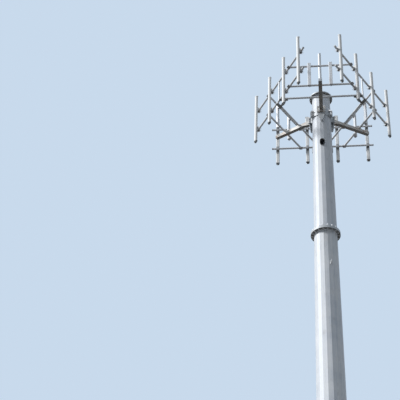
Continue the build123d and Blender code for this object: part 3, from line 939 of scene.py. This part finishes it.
clamp_rods = bmesh.new()
nut_low = keeper_back + clamp_washer
for x in (-clamp_rod_x, clamp_rod_x):
    for z in (-clamp_rod_z, clamp_rod_z):
        stud = bmesh.new()
        rod_start = clamp_rod_sink - rail_radius - bracket_depth
        upright(stud, clamp_rod_radius, rod_start, keeper_back + clamp_rod_tail, 8)
        upright(stud, clamp_washer_radius, keeper_back, nut_low, 10)
        hexagon(stud, clamp_across, nut_low, nut_low + clamp_nut)
        add(clamp_rods, stud, Matrix.Translation((x, 0, z)) @ outward)
antenna_offsets = [(i - (antennas_per_face - 1) / 2) * antenna_pitch for i in range(antennas_per_face)]
clamp_places = []
for third_turn in thirds:
    for x in antenna_offsets:
        for level in rail_levels:
            clamp_places.append(third_turn @ Matrix.Translation((x, face_apothem, level)))
piece("antenna_clamp_rods", copies(clamp_rods, clamp_places), bolt_zinc)


# Antennas: moulded housings of pale grey plastic, with a cap glued on the top and a metal foot below.
# They are chalky from the sun, and rain has left faint dirt on them.
radome = Finish("radome_plastic", 0.0, 0.5)
radome_dirt = radome.noise(1.0, 5.0, (30.0, 30.0, 0.9)).between(0.48, 0.70)
radome_chalk = radome.noise(3.0, 5.0).between(0.35, 0.65)
radome_colour = radome.mix(radome_chalk, (0.82, 0.835, 0.845), (0.90, 0.91, 0.915))
radome_colour = radome.mix(radome_dirt * 0.24, radome_colour, (0.58, 0.59, 0.59))
radome.feed("Base Color", radome_colour)
radome.feed("Roughness", 0.42 + radome_chalk * 0.18)
radome.bump(radome.noise(240.0, 2.0), 0.06, 0.001)
dress([face + "_antennas" for face in faces], radome.material)

foot_metal = Finish("antenna_foot_metal", 0.4, 0.5)
foot_wear = foot_metal.noise(20.0, 5.0).between(0.40, 0.66)
foot_metal.feed("Base Color", foot_metal.mix(foot_wear, (0.10, 0.105, 0.11), (0.20, 0.205, 0.21)))
foot_metal.feed("Roughness", 0.42 + foot_wear * 0.2)
foot_metal.bump(foot_metal.noise(160.0, 3.0), 0.15, 0.001)
dress([face + "_antenna_feet" for face in faces], foot_metal.material)

antenna_width = 0.128
antenna_depth = 0.098
back_squareness = 0.62
top_cap_wall = 0.0025
top_cap_skirt = 0.052
top_cap_crown = 0.003
top_cap_round = 0.014
gasket_lip = 0.0035
gasket_below = 0.004
gasket_above = 0.005
housing_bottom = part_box("back_antennas")[0].z
housing_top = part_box("back_antennas")[1].z


def housing_slice(shape, growth, low, high):
    """A short prism with the housing's outline, proud of it by growth: flat back, round front."""
    half = antenna_width / 2 + growth
    shoulder = antenna_depth - antenna_width / 2
    disc = bmesh.ops.create_circle(shape, cap_ends=True, segments=36, radius=half)["verts"]
    for vert in disc:
        if vert.co.y < -1e-4:
            vert.co.x = math.copysign(min(half, abs(vert.co.x) / back_squareness), vert.co.x)
            vert.co.y = max(vert.co.y / back_squareness, -half)
            vert.co.y *= (shoulder + growth) / half
    bmesh.ops.translate(shape, vec=(0, shoulder, low), verts=disc)
    lifted = bmesh.ops.extrude_face_region(shape, geom=[disc[0].link_faces[0]])["geom"]
    top = verts_in(lifted)
    bmesh.ops.translate(shape, vec=(0, 0, high - low), verts=top)
    return top


top_cap = bmesh.new()
cap_top = housing_slice(top_cap, top_cap_wall, housing_top - top_cap_skirt, housing_top + top_cap_crown)
cap_rim = [edge for edge in top_cap.edges if all(vert in cap_top for vert in edge.verts)]
ease(top_cap, cap_rim, top_cap_round, 4)
gasket = bmesh.new()
housing_slice(gasket, gasket_lip, housing_bottom - gasket_below, housing_bottom + gasket_above)
antenna_spots = []
for third_turn in thirds:
    for x in antenna_offsets:
        antenna_spots.append(third_turn @ Matrix.Translation((x, antenna_back, 0)))
piece("antenna_top_caps", copies(top_cap, antenna_spots), radome.material)
piece("antenna_gaskets", copies(gasket, antenna_spots), trim_rubber.material)

connector_spread = 0.052
connector_across = 0.036
connector_nut_low = -0.012
connector_nut_high = -0.001
connector_radius = 0.0172
connector_low = -0.040
connector_rings = 6
connector_ring = 0.002
connector_pitch = 0.0045
socket_rise = 0.045
socket_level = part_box("back_antenna_feet")[0].z + socket_rise
nickel = Finish("connector_nickel", 0.85, 0.32)
nickel_wear = nickel.noise(60.0, 4.0).between(0.4, 0.65)
nickel.feed("Base Color", nickel.mix(nickel_wear, (0.62, 0.60, 0.55), (0.42, 0.41, 0.38)))
nickel.bump(nickel.noise(300.0, 2.0), 0.1, 0.0005)
connector = bmesh.new()
hexagon(connector, connector_across, connector_nut_low, connector_nut_high)
for step in range(connector_rings):
    ring_low = connector_low + step * connector_pitch
    upright(connector, connector_radius, ring_low, ring_low + connector_ring, 18)
connector_places = []
for spot in antenna_spots:
    for x in (-connector_spread / 2, connector_spread / 2):
        connector_places.append(spot @ Matrix.Translation((x, antenna_depth / 2, socket_level)))
piece("antenna_connectors", copies(connector, connector_places), nickel.material)


# Stage: a pale floor at the foot of the tower and a pale backdrop, with soft light from high on the left.
# From below, the floor can be seen through.
backdrop_colour = (0.58, 0.70, 0.84)
floor_colour = (0.78, 0.82, 0.86)
floor_bounce = (0.11, 0.11, 0.105)
floor_radius = 300.0
key_turn = (math.radians(53), 0.0, math.radians(-70))
key_strength = 3.3
key_softness = math.radians(14)
fill_colour = (0.90, 0.95, 1.0)
fill_strength = 0.32

floor_shape = bmesh.new()
bmesh.ops.create_circle(floor_shape, cap_ends=True, segments=96, radius=floor_radius)
floor_mesh = bpy.data.meshes.new("floor")
floor_shape.to_mesh(floor_mesh)
floor_shape.free()
floor = bpy.data.objects.new("floor", floor_mesh)
bpy.context.scene.collection.objects.link(floor)
floor_finish = Finish("floor_paint", 0.0, 0.8)
shown = floor_finish.seen_by(("Is Camera Ray", "Is Glossy Ray"))
floor_finish.feed("Base Color", floor_finish.mix(shown, floor_bounce, floor_colour))
underside = floor_finish.node("ShaderNodeNewGeometry", out="Backfacing")
floor_finish.feed("Alpha", 1 - underside)
floor_mesh.materials.append(floor_finish.material)


class Studio(Finish):
    """The world's nodes, made in the same way as a material's."""

    def __init__(self, world):
        self.tree = world.node_tree
        self.tree.nodes.clear()
        self.shader = self.tree.nodes.new("ShaderNodeOutputWorld")


world = bpy.data.worlds.new("studio")
bpy.context.scene.world = world
world.use_nodes = True
studio = Studio(world)
backdrop = studio.node("ShaderNodeBackground", {}, {"Color": (*backdrop_colour, 1.0), "Strength": 1.0})
fill = studio.node("ShaderNodeBackground", {}, {"Color": (*fill_colour, 1.0), "Strength": fill_strength})
shown = studio.seen_by(("Is Camera Ray", "Is Glossy Ray", "Is Transmission Ray"))
studio.feed("Surface", studio.node("ShaderNodeMixShader", {}, {0: shown, 1: fill, 2: backdrop}))

key = bpy.data.lights.new("key", "SUN")
key.energy = key_strength
key.angle = key_softness
key_lamp = bpy.data.objects.new("key", key)
key_lamp.rotation_euler = key_turn
bpy.context.scene.collection.objects.link(key_lamp)


# Camera: it stands near the ground in front of the near corner, and looks up at the head. The head
# is right of the frame's middle and above it, and a small roll keeps the pole upright in the frame.
# Head_scale is in pixels a metre, and head_right and head_up are in pixels from the frame's middle.
frame_pixels = 400
camera_distance = 28.6
camera_height = 1.6
head_scale = 26.8
head_right = 120.6
head_up = 94.0
roll = math.radians(-2.6)
sensor = 36.0

head = Vector((0, 0, sum(rail_levels) / 2))
eye = Vector((0, -camera_distance, camera_height))
focal = head_scale * (head - eye).length
lens = bpy.data.cameras.new("camera")
lens.sensor_width = sensor
lens.lens = sensor * focal / frame_pixels
lens.clip_end = 1000.0
camera = bpy.data.objects.new("camera", lens)
bpy.context.scene.collection.objects.link(camera)
aim = (head - eye).to_track_quat("-Z", "Y").to_matrix().to_4x4()
sideways = Matrix.Rotation(math.atan2(head_right, focal), 4, "Y")
downwards = Matrix.Rotation(-math.atan2(head_up, focal), 4, "X")
turned = aim @ Matrix.Rotation(roll, 4, "Z") @ sideways @ downwards
camera.matrix_world = Matrix.Translation(eye) @ turned
bpy.context.scene.camera = camera
bpy.context.scene.view_settings.view_transform = "Standard"
